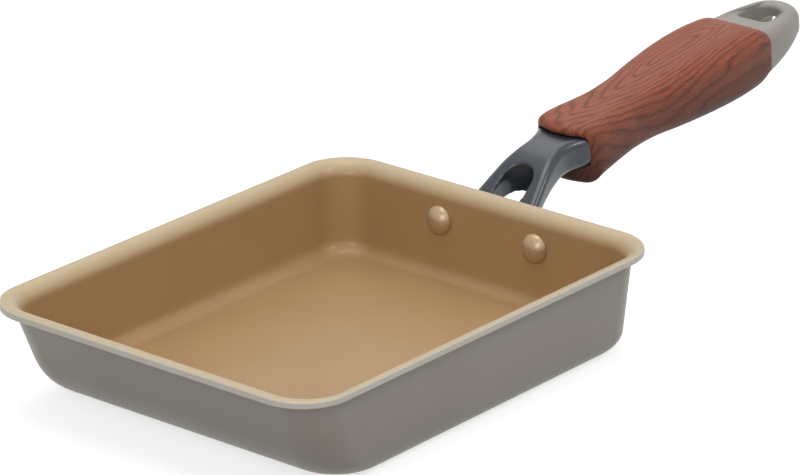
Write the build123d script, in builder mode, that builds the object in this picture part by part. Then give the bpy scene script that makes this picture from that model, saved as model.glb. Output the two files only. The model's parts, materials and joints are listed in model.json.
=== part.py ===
from build123d import *
import os
from math import cos, radians, sin, tan

# Tamagoyaki pan: a coated rectangular omelette pan with a riveted fork arm, a moulded
# grip and a hanging loop at its tail.
# Millimetres. +X runs from the pan to the handle, +Z is up. The origin is the middle
# of the rim's outline, on the surface that the pan rests on.

os.makedirs("parts", exist_ok=True)

# Pan: driving dimensions, measured over the lip
pan_length = 194.0
pan_width = 150.0
pan_height = 39.0
rim_corner = 18.8
wall = 2.4
lip_overhang = 3.8
lip_roll = 5.6
lip_edge_round = 0.5
side_draft = 4.0
side_roll = 8.5
far_draft = 22.0
far_roll = 26.0
handle_roll = 7.5
wall_corner = 15.5
floor_thickness = 4.6
cut_overrun = 5.0

# Base plate pressed into the underside
plate_thickness = 0.8
plate_proud = 0.3
plate_margin = 4.0
plate_corner = 12.0
plate_hole = 7.0
plate_pitch_x_share = 0.185
plate_pitch_y_share = 0.23
plate_columns_count = 5
plate_rows_count = 4
plate_clearance = 0.1

# Rivets
rivet_spacing = 44.0
rivet_drop = 13.1
rivet_shank = 5.0
rivet_head = 11.0
rivet_head_height = 3.9
rivet_head_edge = 0.9
rivet_tail = 8.4
rivet_tail_height = 1.6
rivet_tail_bulge_share = 0.93
rivet_tail_crown_share = 0.62
rivet_clearance = 0.1

# Arm: foot, legs and neck
foot_width = 59.0
foot_height = 14.8
foot_thickness = 3.4
foot_corner = 7.0
foot_edge_round = 1.0
root_width = 33.0
root_depth = 14.8
root_splay = 19.0
leg_width = 27.8
leg_reach = 4.3
leg_rise = 1.4
leg_slope = 39.0
under_slope = 62.0
bend_reach = 13.0
waist_width = 18.0
waist_reach = 26.0
throat_width = 19.4
throat_lead = 5.5
neck_width = 23.4
neck_height = 11.8
neck_lead = 3.0
neck_inset = 5.0
arm_round = 3.4
slot_width = 12.6
slot_arch_reach = 9.4
slot_draft = 3.0
slot_parting_drop = -1.2
slot_gap = 1.2
slot_reach_up = 10.0
slot_rim_round = 0.7

# Tang inside the grip
tang_width = 13.0
tang_height = 7.0
tang_length = 46.0
tang_taper_share = 0.85
tang_round = 1.5
tang_clearance = 0.3
tap_depth = 16.0
screw_size = 5.0
screw_clearance = 0.05
screw_tip_gap = 2.0

# Grip
grip_start_reach = 38.0
grip_start_rise = 8.0
grip_tilt = 4.9
grip_length = 109.5
grip_width = 34.0
grip_height = 26.2
grip_nose_round = 2.2
nose_reach = 3.0
nose_radius = 20.0
nose_lean = 7.0
screw_bore = 5.6
screw_seat_depth = 26.0
screw_seat_bore = 11.0

# Screw and its washers
screw_head = 8.8
screw_head_height = 3.4
screw_drive = 1.1
screw_drive_width = 4.6
screw_drive_depth = 1.8
flat_washer_size = 10.2
flat_washer_thickness = 1.0
spring_washer_size = 8.6
spring_washer_thickness = 1.3
spring_washer_gap = 1.2
washer_hole = 5.3

# End cap with the hanging loop
cap_length = 31.5
cap_tip_thickness = 10.8
cap_end_radius = 11.5
plug_width = 17.0
plug_height = 8.4
plug_length = 12.0
plug_round = 2.0
plug_clearance = 0.15
loop_hole_start = 8.1
loop_hole_length = 14.6
loop_hole_width = 13.8
loop_hole_corner = 2.2
loop_hole_round = 1.6
hook_groove_roof = 4.4
hook_groove_radius = 5.5

# Grip outline: stations along its axis, and the size of each section
station_shares = (-0.07, 0.0, 0.03, 0.06, 0.11, 0.18, 0.27, 0.38, 0.51, 0.66, 0.80, 0.91, 0.965, 1.0)
width_shares = (0.72, 0.80, 0.83, 0.84, 0.83, 0.815, 0.79, 0.812, 0.895, 0.972, 1.0, 0.965, 0.93, 0.895)
height_shares = (0.89, 0.89, 0.88, 0.865, 0.845, 0.807, 0.795, 0.825, 0.92, 0.99, 1.0, 0.955, 0.86, 0.695)
rise_shares = (
    -0.09,
    -0.08,
    -0.055,
    -0.04,
    -0.028,
    -0.018,
    -0.008,
    0.003,
    0.010,
    0.014,
    0.006,
    -0.005,
    -0.01,
    -0.011,
)
round_shares = (0.19, 0.2, 0.22, 0.235, 0.25, 0.27, 0.29, 0.31, 0.33, 0.34, 0.33, 0.29, 0.24, 0.19)

# Places that follow from the sizes
half_length = pan_length / 2
half_width = pan_width / 2
floor_top = floor_thickness
body_bottom = plate_proud
lip_bottom = pan_height - wall
far_side = -half_length + lip_overhang
handle_side = half_length - lip_overhang
wall_side = half_width - lip_overhang


def roll_inset(draft, roll, floor_level, level):
    """How far a wall stands inside its own top edge at a level, roll at the foot included."""
    slope = tan(radians(draft))
    roll_centre = (pan_height - floor_level) * slope + roll * tan(radians((90 - draft) / 2))
    if level >= floor_level + roll * (1 - sin(radians(draft))):
        return (pan_height - level) * slope
    height = roll - (level - floor_level)
    return roll_centre - (roll * roll - height * height) ** 0.5


def tub_outline(level, floor_level, offset):
    """Rounded rectangle of the tub at a level, offset inwards for the inner skin."""
    rolls = [roll - offset for roll in (side_roll, far_roll, handle_roll)]
    side = roll_inset(side_draft, rolls[0], floor_level, level) + offset / cos(radians(side_draft))
    far = roll_inset(far_draft, rolls[1], floor_level, level) + offset / cos(radians(far_draft))
    near = roll_inset(side_draft, rolls[2], floor_level, level) + offset / cos(radians(side_draft))
    left, right = far_side + far, handle_side - near
    with BuildSketch(Plane.XY.offset(level)) as outline:
        with Locations(((left + right) / 2, 0)):
            RectangleRounded(right - left, 2 * (wall_side - side), wall_corner - offset)
    return outline.sketch


def tub(floor_level, offset, join_level, level_shares):
    """Solid tub: a smooth loft round the rolled foot and straight walls above it."""
    roll_levels = [floor_level + share * (join_level - floor_level) for share in level_shares]
    foot = loft([tub_outline(level, floor_level, offset) for level in roll_levels])
    walls = loft(
        [tub_outline(level, floor_level, offset) for level in (join_level, pan_height)], ruled=True
    )
    return foot + walls


# Handle axis: from the middle of the grip's front face to its tail
tilt = radians(grip_tilt)
grip_start = Vector(half_length + grip_start_reach, 0, pan_height + grip_start_rise)
along = Vector(cos(tilt), 0, sin(tilt))
upward = Vector(-sin(tilt), 0, cos(tilt))
grip_axis = Plane(origin=grip_start, x_dir=(0, 1, 0), z_dir=along)

# Levels of the foot's loft, close together where the roll turns fastest
foot_level_shares = (0.0, 0.008, 0.035, 0.09, 0.17, 0.28, 0.42, 0.60, 0.80, 0.94, 1.0)
outer_join = body_bottom + far_roll * (1 - sin(radians(far_draft)))
inner_join = floor_top + (far_roll - wall) * (1 - sin(radians(far_draft)))

# Handle-side wall: the plane that the foot of the arm and the rivets stand on
rivet_level = pan_height - rivet_drop
wall_face_x = handle_side - rivet_drop * tan(radians(side_draft))
wall_tilt = radians(side_draft)
handle_wall = Plane(
    origin=(wall_face_x, 0, rivet_level), x_dir=(0, 1, 0), z_dir=(cos(wall_tilt), 0, -sin(wall_tilt))
)
rivet_places = ((rivet_spacing / 2, 0), (-rivet_spacing / 2, 0))

# Underside: the flat that the plate is pressed into
flat_left = far_side + roll_inset(far_draft, far_roll, body_bottom, body_bottom)
flat_right = handle_side - roll_inset(side_draft, handle_roll, body_bottom, body_bottom)
flat_half = wall_side - roll_inset(side_draft, side_roll, body_bottom, body_bottom)
plate_middle = (flat_left + flat_right) / 2
plate_length = flat_right - flat_left - 2 * plate_margin
plate_width = 2 * (flat_half - plate_margin)

with BuildPart() as pan_body:
    add(tub(body_bottom, 0, outer_join, foot_level_shares))
    with BuildSketch(Plane.XY.offset(lip_bottom)):
        RectangleRounded(pan_length, pan_width, rim_corner)
    extrude(amount=wall)
    # the lip rolls outwards from the wall: the underside first, then the top
    underside = pan_body.faces().filter_by(Axis.Z).group_by(Axis.Z)[-2].sort_by(SortBy.AREA)[-1]
    fillet(underside.inner_wires()[0].edges(), lip_roll - wall)
    add(tub(floor_top, wall, inner_join, foot_level_shares), mode=Mode.SUBTRACT)
    lip_top = pan_body.faces().filter_by(Axis.Z).sort_by(Axis.Z)[-1]
    fillet(lip_top.inner_wires()[0].edges(), lip_roll)
    fillet(pan_body.faces().sort_by(Axis.Z)[-1].outer_wire().edges(), lip_edge_round)
    # recess that the plate is pressed into
    with BuildSketch(Plane.XY.offset(body_bottom)):
        with Locations((plate_middle, 0)):
            RectangleRounded(
                plate_length + 2 * plate_clearance, plate_width + 2 * plate_clearance, plate_corner
            )
    extrude(amount=plate_thickness - plate_proud, mode=Mode.SUBTRACT)
    # rivet holes, square to the wall
    with BuildSketch(handle_wall.offset(-wall - cut_overrun)):
        with Locations(*rivet_places):
            Circle(rivet_shank / 2 + rivet_clearance)
    extrude(amount=wall + 2 * cut_overrun, mode=Mode.SUBTRACT)
    pan_body.part.label = "pan_body"
export_step(pan_body.part, "parts/pan_body.step")

with BuildPart() as base_plate:
    with BuildSketch():
        with Locations((plate_middle, 0)):
            RectangleRounded(plate_length, plate_width, plate_corner - plate_clearance)
            with GridLocations(
                plate_length * plate_pitch_x_share,
                plate_width * plate_pitch_y_share,
                plate_columns_count,
                plate_rows_count,
            ):
                Circle(plate_hole / 2, mode=Mode.SUBTRACT)
    extrude(amount=plate_thickness)
    base_plate.part.label = "base_plate"
export_step(base_plate.part, "parts/base_plate.step")

# Rivets: a domed head inside the pan, the shank through wall and foot, the tail set outside
rivet_grip = wall + foot_thickness
head_rise = rivet_head_height - rivet_head_edge
for name, place in zip(("rivet_left", "rivet_right"), rivet_places):
    with BuildPart() as rivet:
        with BuildSketch(Plane.XZ):
            with BuildLine():
                Line((0, -rivet_head_height), (0, rivet_grip + rivet_tail_height))
                Line((0, rivet_grip + rivet_tail_height), (rivet_shank / 2, rivet_grip + rivet_tail_height))
                ThreePointArc(
                    (rivet_shank / 2, rivet_grip + rivet_tail_height),
                    (
                        rivet_tail / 2 * rivet_tail_bulge_share,
                        rivet_grip + rivet_tail_height * rivet_tail_crown_share,
                    ),
                    (rivet_tail / 2, rivet_grip),
                )
                Polyline(
                    (rivet_tail / 2, rivet_grip),
                    (rivet_shank / 2, rivet_grip),
                    (rivet_shank / 2, 0),
                    (rivet_head / 2, 0),
                    (rivet_head / 2, -rivet_head_edge),
                )
                RadiusArc(
                    (rivet_head / 2, -rivet_head_edge),
                    (0, -rivet_head_height),
                    (rivet_head * rivet_head / 4 + head_rise * head_rise) / (2 * head_rise),
                )
            make_face()
        revolve(axis=Axis.Z)
    seat = handle_wall.offset(-wall) * Location((place[0], place[1], 0))
    piece = seat * rivet.part
    piece.label = name
    export_step(piece, f"parts/{name}.step")

# Arm: side profile crossed with a plan outline, slotted between the legs
foot_half_x = wall_face_x + foot_thickness / 2
leg_top = Vector(half_length + leg_reach, 0, pan_height - leg_rise)
leg_line = Vector(cos(radians(leg_slope)), 0, sin(radians(leg_slope)))
under_line = Vector(cos(radians(under_slope)), 0, sin(radians(under_slope)))
root_top = leg_top + leg_line * ((foot_half_x - leg_top.X) / leg_line.X)
root_bottom = Vector(foot_half_x, 0, rivet_level - root_depth / 2)
bend_top = leg_top + leg_line * ((bend_reach - leg_reach) / leg_line.X)
neck_top = grip_start + upward * (neck_height / 2)
neck_bottom = grip_start - upward * (neck_height / 2)
neck_ahead = along * -neck_lead
neck_end = along * neck_inset
waist_x = half_length + waist_reach
neck_stop = grip_start.X + 2 * neck_inset
slot_start = wall_face_x + foot_thickness + slot_gap
slot_middle = half_length + slot_arch_reach
parting_level = pan_height - slot_parting_drop


def flat(point):
    """A point of the XZ middle plane as sketch coordinates."""
    return (point.X, point.Z)


with BuildPart() as legs:
    with BuildSketch(Plane.XZ):
        with BuildLine():
            Line(flat(root_bottom), flat(root_top))
            Line(flat(root_top), flat(bend_top))
            Spline(
                flat(bend_top),
                flat(neck_top + neck_ahead),
                tangents=(flat(leg_line), flat(along)),
            )
            Polyline(
                flat(neck_top + neck_ahead),
                flat(neck_top + neck_end),
                flat(neck_bottom + neck_end),
                flat(neck_bottom + neck_ahead),
            )
            Spline(
                flat(neck_bottom + neck_ahead),
                flat(root_bottom),
                tangents=(flat(along * -1), flat(under_line * -1)),
            )
        make_face()
    extrude(amount=root_width, both=True)
    with BuildSketch(Plane.XY):
        with BuildLine():
            Line((foot_half_x, 0), (foot_half_x, root_width / 2))
            Spline(
                (foot_half_x, root_width / 2),
                (leg_top.X, leg_width / 2),
                (waist_x, waist_width / 2),
                (grip_start.X - throat_lead, throat_width / 2),
                (grip_start.X, neck_width / 2),
                tangents=((cos(radians(root_splay)), -sin(radians(root_splay))), (1, 0)),
            )
            Line((grip_start.X, neck_width / 2), (neck_stop, neck_width / 2))
            Line((neck_stop, neck_width / 2), (neck_stop, 0))
            mirror(about=Plane.XZ)
        make_face()
    extrude(amount=2 * pan_height, mode=Mode.INTERSECT)
    long_edges = legs.edges().filter_by(
        lambda edge: abs(edge.center().Y) > waist_width / 4
        and foot_half_x + foot_edge_round < edge.center().X < grip_start.X + neck_inset - foot_edge_round
    )
    fillet(long_edges, arm_round)
    # slot between the legs, drafted both ways from its parting line
    for reach in (slot_reach_up, -parting_level):
        with BuildSketch(Plane.XY.offset(parting_level)):
            with Locations(((slot_start + slot_middle) / 2, 0)):
                Rectangle(slot_middle - slot_start, slot_width)
            with Locations((slot_middle, 0)):
                Circle(slot_width / 2)
        extrude(amount=reach, taper=-slot_draft, mode=Mode.SUBTRACT)
    # the slot's upper rim lies on the straight upper side of the legs
    slot_rim = legs.edges().filter_by(
        lambda edge: edge.geom_type != GeomType.LINE
        and abs(edge.center().Y) < slot_width / 2 + slot_rim_round
        and abs((edge.center() - leg_top).cross(leg_line).Y) < slot_rim_round / 2
    )
    fillet(slot_rim, slot_rim_round)

with BuildPart() as handle_arm:
    # foot against the wall of the pan, with an ear round each rivet
    with BuildSketch(handle_wall):
        RectangleRounded(foot_width, foot_height, foot_corner)
    extrude(amount=foot_thickness)
    fillet(handle_arm.faces().sort_by(Axis.X)[-1].edges(), foot_edge_round)
    add(legs.part)
    with BuildSketch(handle_wall.offset(-cut_overrun)):
        with Locations(*rivet_places):
            Circle(rivet_shank / 2 + rivet_clearance)
    extrude(amount=foot_thickness + 2 * cut_overrun, mode=Mode.SUBTRACT)
    # tang with its tapped end
    with BuildSketch(grip_axis.offset(neck_inset)):
        RectangleRounded(tang_width, tang_height, tang_round)
    with BuildSketch(grip_axis.offset(neck_inset + tang_length)):
        RectangleRounded(tang_width * tang_taper_share, tang_height * tang_taper_share, tang_round)
    loft()
    with BuildSketch(grip_axis.offset(neck_inset + tang_length - tap_depth)):
        Circle(screw_size / 2 + screw_clearance)
    extrude(amount=tap_depth, mode=Mode.SUBTRACT)
    handle_arm.part.label = "handle_arm"
export_step(handle_arm.part, "parts/handle_arm.step")

# Grip: a lofted sleeve, hollow for the tang, the screw and the plug of the end cap
seat_station = grip_length - screw_seat_depth
tang_end_station = neck_inset + tang_length + tang_clearance
sections = list(zip(station_shares, width_shares, height_shares, rise_shares, round_shares))

with BuildPart() as grip:
    for station, width, height, rise, corner in sections:
        with BuildSketch(grip_axis.offset(station * grip_length)):
            with Locations((0, rise * grip_height)):
                RectangleRounded(width * grip_width, height * grip_height, corner * grip_height)
    loft()
    # the front is bowed in plan and leans, so that its top stands out over the arm
    with BuildSketch(Plane(origin=grip_start, x_dir=along, z_dir=upward).rotated((0, -nose_lean, 0))):
        with Locations((nose_radius - nose_reach, 0)):
            Circle(nose_radius)
        with Locations((nose_radius - nose_reach + grip_length, 0)):
            Rectangle(2 * grip_length, 2 * nose_radius)
    extrude(amount=2 * grip_height, both=True, mode=Mode.INTERSECT)
    fillet(grip.faces().sort_by(Axis.X)[0].outer_wire().edges(), grip_nose_round)
    with BuildSketch(grip_axis.offset(-nose_radius)):
        RectangleRounded(
            neck_width + 2 * tang_clearance, neck_height + 2 * tang_clearance, arm_round + tang_clearance
        )
    extrude(amount=nose_radius + neck_inset, mode=Mode.SUBTRACT)
    with BuildSketch(grip_axis):
        RectangleRounded(
            tang_width + 2 * tang_clearance, tang_height + 2 * tang_clearance, tang_round + tang_clearance
        )
    extrude(amount=tang_end_station, mode=Mode.SUBTRACT)
    with BuildSketch(grip_axis):
        Circle(screw_bore / 2)
    extrude(amount=grip_length, mode=Mode.SUBTRACT)
    with BuildSketch(grip_axis.offset(seat_station)):
        Circle(screw_seat_bore / 2)
    extrude(amount=grip_length - seat_station, mode=Mode.SUBTRACT)
    with BuildSketch(grip_axis.offset(grip_length - plug_length - plug_clearance)):
        RectangleRounded(
            plug_width + 2 * plug_clearance, plug_height + 2 * plug_clearance, plug_round + plug_clearance
        )
    extrude(amount=plug_length + plug_clearance, mode=Mode.SUBTRACT)
    grip.part.label = "grip"
export_step(grip.part, "parts/grip.step")

# End cap: plan outline crossed with a side profile, pierced by the hanging loop
seam_width, seam_height = width_shares[-1] * grip_width, height_shares[-1] * grip_height
seam_round = round_shares[-1] * grip_height
seam_start = grip_start + along * grip_length
cap_plan = Plane(origin=seam_start, x_dir=along, z_dir=upward)
cap_side = Plane(origin=seam_start, x_dir=along, z_dir=(0, -1, 0))
cap_top = rise_shares[-1] * grip_height + seam_height / 2
loop_end_radius = loop_hole_width / 2
loop_end_middle = loop_hole_start + loop_hole_length - loop_end_radius
# the plan is an oval of three tangent arcs
cap_end_middle = Vector(cap_length - cap_end_radius, 0, 0)
cap_side_radius = (cap_end_middle.X**2 + seam_width**2 / 4 - cap_end_radius**2) / (
    seam_width - 2 * cap_end_radius
)
cap_side_middle = Vector(0, seam_width / 2 - cap_side_radius, 0)
cap_turn = cap_end_middle + (cap_end_middle - cap_side_middle).normalized() * cap_end_radius

with BuildPart() as end_cap:
    with BuildSketch(cap_plan.offset(-seam_width / 2)):
        with BuildLine():
            RadiusArc((0, -seam_width / 2), (cap_turn.X, -cap_turn.Y), -cap_side_radius)
            RadiusArc((cap_turn.X, -cap_turn.Y), (cap_turn.X, cap_turn.Y), -cap_end_radius)
            RadiusArc((cap_turn.X, cap_turn.Y), (0, seam_width / 2), -cap_side_radius)
            Line((0, seam_width / 2), (0, -seam_width / 2))
        make_face()
    extrude(amount=seam_width)
    with BuildSketch(cap_side.offset(-seam_width)):
        with BuildLine():
            Polyline(
                (0, cap_top),
                (cap_length, cap_top),
                (cap_length, cap_top - cap_tip_thickness),
                (0, cap_top - seam_height),
                close=True,
            )
        make_face()
    extrude(amount=2 * seam_width, mode=Mode.INTERSECT)
    rim_edges = end_cap.edges().filter_by(
        lambda edge: edge.geom_type != GeomType.LINE and edge.center().X > seam_start.X + cap_length / 4
    )
    fillet(rim_edges, seam_round)
    with BuildSketch(cap_plan):
        with Locations(((loop_hole_start + loop_end_middle) / 2, 0)):
            Rectangle(loop_end_middle - loop_hole_start, loop_hole_width)
        with Locations((loop_end_middle, 0)):
            Circle(loop_end_radius)
        front_corners = vertices().sort_by(Axis.X)[:2]
        fillet(front_corners, loop_hole_corner)
    extrude(amount=seam_width, both=True, mode=Mode.SUBTRACT)
    hole_edges = [
        edge
        for face in end_cap.faces().filter_by(GeomType.PLANE)
        for wire in face.inner_wires()
        for edge in wire.edges()
    ]
    fillet(hole_edges, loop_hole_round)
    # groove under the tip that the hook lies in
    with BuildSketch(grip_axis.offset(grip_length + loop_end_middle)):
        with Locations((0, cap_top - hook_groove_roof - hook_groove_radius)):
            Circle(hook_groove_radius)
    extrude(amount=cap_length, mode=Mode.SUBTRACT)
    with BuildSketch(grip_axis.offset(grip_length - plug_length)):
        RectangleRounded(plug_width, plug_height, plug_round)
    extrude(amount=plug_length)
    end_cap.part.label = "end_cap"
export_step(end_cap.part, "parts/end_cap.step")

# Screw and washers that draw the grip onto the arm
flat_washer_station = seat_station
spring_washer_station = flat_washer_station + flat_washer_thickness
screw_seat = spring_washer_station + spring_washer_thickness
screw_tip = neck_inset + tang_length - tap_depth + screw_tip_gap

with BuildPart() as flat_washer:
    with BuildSketch(grip_axis.offset(flat_washer_station)):
        Circle(flat_washer_size / 2)
        Circle(washer_hole / 2, mode=Mode.SUBTRACT)
    extrude(amount=flat_washer_thickness)
    flat_washer.part.label = "flat_washer"
export_step(flat_washer.part, "parts/flat_washer.step")

with BuildPart() as spring_washer:
    with BuildSketch(grip_axis.offset(spring_washer_station)):
        Circle(spring_washer_size / 2)
        Circle(washer_hole / 2, mode=Mode.SUBTRACT)
        with Locations((0, spring_washer_size / 2)):
            Rectangle(spring_washer_gap, spring_washer_size, mode=Mode.SUBTRACT)
    extrude(amount=spring_washer_thickness)
    spring_washer.part.label = "spring_washer"
export_step(spring_washer.part, "parts/spring_washer.step")

with BuildPart() as grip_screw:
    with BuildSketch(grip_axis.offset(screw_tip)):
        Circle(screw_size / 2)
    extrude(amount=screw_seat - screw_tip)
    with BuildSketch(grip_axis.offset(screw_seat)):
        Circle(screw_head / 2)
    extrude(amount=screw_head_height)
    fillet(grip_screw.faces().sort_by(Axis.X)[-1].outer_wire().edges(), screw_head_height / 2)
    with BuildSketch(grip_axis.offset(screw_seat + screw_head_height)):
        for turn in (0, 90):
            Rectangle(screw_drive_width, screw_drive, rotation=turn)
    extrude(amount=-screw_drive_depth, mode=Mode.SUBTRACT)
    grip_screw.part.label = "grip_screw"
export_step(grip_screw.part, "parts/grip_screw.step")
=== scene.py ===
import json
from collections import namedtuple
from math import asin, atan2, cos, pi, radians, sin, sqrt, tan

import bmesh
import bpy
from bpy.props import FloatProperty, FloatVectorProperty, IntProperty, PointerProperty
from bpy.types import Operator, Panel, PropertyGroup
from mathutils import Matrix, Vector

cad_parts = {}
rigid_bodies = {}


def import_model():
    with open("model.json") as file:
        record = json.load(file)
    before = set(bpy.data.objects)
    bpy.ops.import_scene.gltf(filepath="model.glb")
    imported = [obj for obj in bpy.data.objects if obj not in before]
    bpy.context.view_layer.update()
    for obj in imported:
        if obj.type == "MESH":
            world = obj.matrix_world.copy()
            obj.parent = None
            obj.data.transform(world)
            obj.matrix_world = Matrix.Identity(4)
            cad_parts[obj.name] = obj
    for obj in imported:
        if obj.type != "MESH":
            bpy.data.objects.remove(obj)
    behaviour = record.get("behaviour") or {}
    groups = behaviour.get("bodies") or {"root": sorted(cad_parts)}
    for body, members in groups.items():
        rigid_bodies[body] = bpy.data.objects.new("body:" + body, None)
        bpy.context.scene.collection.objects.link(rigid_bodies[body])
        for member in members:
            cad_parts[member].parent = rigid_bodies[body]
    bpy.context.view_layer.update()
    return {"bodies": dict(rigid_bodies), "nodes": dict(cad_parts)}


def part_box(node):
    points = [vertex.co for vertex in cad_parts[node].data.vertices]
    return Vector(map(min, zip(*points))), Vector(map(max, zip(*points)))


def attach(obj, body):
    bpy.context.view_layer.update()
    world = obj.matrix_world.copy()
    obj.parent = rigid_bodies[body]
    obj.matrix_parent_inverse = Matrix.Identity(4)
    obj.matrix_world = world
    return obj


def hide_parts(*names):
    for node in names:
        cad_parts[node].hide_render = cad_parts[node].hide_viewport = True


bl_info = {
    "name": "Rectangular Omelette Pan",
    "version": (1, 0, 0),
    "blender": (4, 5, 0),
    "location": "View3D > Sidebar > Pan",
    "description": "A coated omelette pan with its riveted arm, wood-look grip and hanging loop",
    "category": "Add Mesh",
}

# The fixed frame, and the box that it fills before anything is dressed
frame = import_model()
body_name = next(iter(frame["bodies"]))
pan_low, pan_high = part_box("pan_body")
plate_low, plate_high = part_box("base_plate")

# The sizes are in metres, so a size in millimetres is written with its unit
mm = 0.001
right_way, left_way, up_way = Vector((1, 0, 0)), Vector((0, 1, 0)), Vector((0, 0, 1))

# A flat rounded rectangle in space, the outline that a wall is drawn through
Ring = namedtuple("Ring", "centre wide high half_wide half_high radius")

# The grip's sections: their places as shares of its length, then their widths, heights, rises
# and corner radii as shares of its width and its height
grip_stations = (-0.04, 0, 0.03, 0.06, 0.11, 0.18, 0.27, 0.38, 0.51, 0.66, 0.80, 0.91, 0.965, 1)
grip_widths = (
    0.74, 0.80, 0.83, 0.84, 0.83, 0.815, 0.79, 0.812, 0.895, 0.972, 1, 0.965, 0.93, 0.895)
grip_heights = (
    0.89, 0.89, 0.88, 0.865, 0.845, 0.807, 0.795, 0.825, 0.92, 0.99, 1, 0.955, 0.86, 0.695)
grip_rises = (
    -0.09, -0.08, -0.055, -0.04, -0.028, -0.018, -0.008,
    0.003, 0.010, 0.014, 0.006, -0.005, -0.01, -0.011)
grip_rounds = (0.19, 0.2, 0.22, 0.235, 0.25, 0.27, 0.29, 0.31, 0.33, 0.34, 0.33, 0.29, 0.24, 0.19)


def linear(hex_colour):
    """An sRGB colour written as hex, as the linear colour that a shader takes."""
    shares = [int(hex_colour[k : k + 2], 16) / 255 for k in (0, 2, 4)]
    return [c / 12.92 if c <= 0.04045 else ((c + 0.055) / 1.055) ** 2.4 for c in shares]


def length(name, size, description):
    """A property that holds a length, given in millimetres."""
    return FloatProperty(
        name=name, description=description, default=size * mm, unit="LENGTH", precision=5)


def angle(name, size, description):
    """A property that holds an angle, given in degrees."""
    return FloatProperty(
        name=name, description=description, default=radians(size), subtype="ANGLE")


def colour(name, hex_colour, description):
    """A property that holds a colour, given as sRGB hex."""
    return FloatVectorProperty(
        name=name, description=description, default=linear(hex_colour), subtype="COLOR")


class BodySizes(PropertyGroup):
    """The pressed tub of the pan."""

    rim_corner: length("Rim corner", 18.8, "Radius of the lip's corners seen from above")
    wall: length("Wall", 2.4, "Thickness of the sheet")
    overhang: length("Lip overhang", 3.8, "How far the lip stands out from the walls")
    lip_roll: length("Lip roll", 5.6, "Radius that the sheet rolls outwards on, inside")
    lip_edge: length("Lip edge", 0.6, "Rounding of the lip's outer edge")
    side_draft: angle("Side draft", 4.0, "Lean of the side walls and the handle's wall")
    far_draft: angle("Far draft", 22.0, "Lean of the wall that the egg is turned on")
    side_roll: length("Side roll", 8.5, "Outer radius where a side wall meets the floor")
    far_roll: length("Far roll", 26.0, "Outer radius where the far wall meets the floor")
    near_roll: length("Handle roll", 7.5, "Outer radius where the handle's wall meets the floor")
    wall_corner: length("Wall corner", 15.5, "Outer radius of the upright corners")
    floor: length("Floor", 4.6, "Height of the cooking surface over the hob")
    plate_gap: length("Plate gap", 0.1, "Gap round the plate that is pressed in underneath")
    plate_corner: length("Plate corner", 12.0, "Corner radius of that plate's recess")
    corner_steps: IntProperty(name="Corner steps", description="Facets in a corner", default=12)


class RivetSizes(PropertyGroup):
    """The two rivets that hold the arm."""

    spacing: length("Spacing", 44.0, "From rivet to rivet")
    drop: length("Drop", 13.1, "From the rim down to the rivets")
    shank: length("Shank", 5.0, "Diameter of the shank")
    head: length("Head", 11.0, "Diameter of the domed head inside the pan")
    head_height: length("Head height", 3.9, "Height of the domed head")
    head_edge: length("Head edge", 0.9, "Straight edge under the dome")
    tail: length("Tail", 8.4, "Diameter of the set tail outside")
    tail_height: length("Tail height", 1.6, "Height of the set tail")


class ArmSizes(PropertyGroup):
    """The cast arm between the pan and the grip."""

    foot_width: length("Foot width", 59.0, "Width over both ears")
    foot_height: length("Foot height", 14.8, "Height of the foot on the wall")
    foot_thickness: length("Foot thickness", 3.4, "Thickness of the foot")
    foot_corner: length("Foot corner", 7.0, "Radius of the ears")
    foot_edge: length("Foot edge", 1.0, "Rounding of the foot's outer edges")
    root_width: length("Root width", 33.0, "Width over the legs where they leave the foot")
    root_splay: angle("Root splay", 19.0, "How fast the legs narrow there")
    leg_reach: length("Leg reach", 4.3, "From the rim out to the point that sets the legs' height")
    leg_drop: length("Leg drop", 1.4, "How far that point lies under the rim")
    leg_width: length("Leg width", 27.8, "Width over the legs at that point")
    leg_slope: angle("Leg slope", 39.0, "Climb of the legs' upper side")
    under_slope: angle("Under slope", 62.0, "Climb of the arm's underside at the foot")
    bend_reach: length("Bend reach", 13.0, "From the rim out to where the upper side levels out")
    waist_reach: length("Waist reach", 26.0, "From the rim out to the arm's narrowest place")
    waist_width: length("Waist width", 18.0, "Width there")
    flare_lead: length("Flare lead", 5.5, "Stretch ahead of the grip on which the neck widens")
    flare_width: length("Flare width", 19.4, "Width where that stretch starts")
    neck_width: length("Neck width", 23.4, "Width of the neck where it enters the grip")
    neck_height: length("Neck height", 11.8, "Height of the neck where it enters the grip")
    neck_lead: length("Neck lead", 3.0, "Straight stretch of the neck ahead of the grip")
    neck_inset: length("Neck inset", 5.0, "How deep the neck goes into the grip")
    edge: length("Edge", 3.4, "Rounding of the arm's long edges")
    slot_width: length("Slot width", 12.6, "Width of the slot between the legs")
    slot_reach: length("Slot reach", 9.4, "From the rim out to the middle of the slot's arch")
    slot_draft: angle("Slot draft", 3.0, "Lean of the slot's walls from its parting line")
    slot_parting: length("Slot parting", 1.2, "How far that line lies over the rim")
    slot_gap: length("Slot gap", 1.2, "From the foot to the slot")
    tang_width: length("Tang width", 13.0, "Width of the tang inside the grip")
    tang_height: length("Tang height", 7.0, "Height of the tang")
    tang_length: length("Tang length", 46.0, "Length of the tang")
    tang_edge: length("Tang edge", 1.5, "Rounding of the tang's edges")


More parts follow.
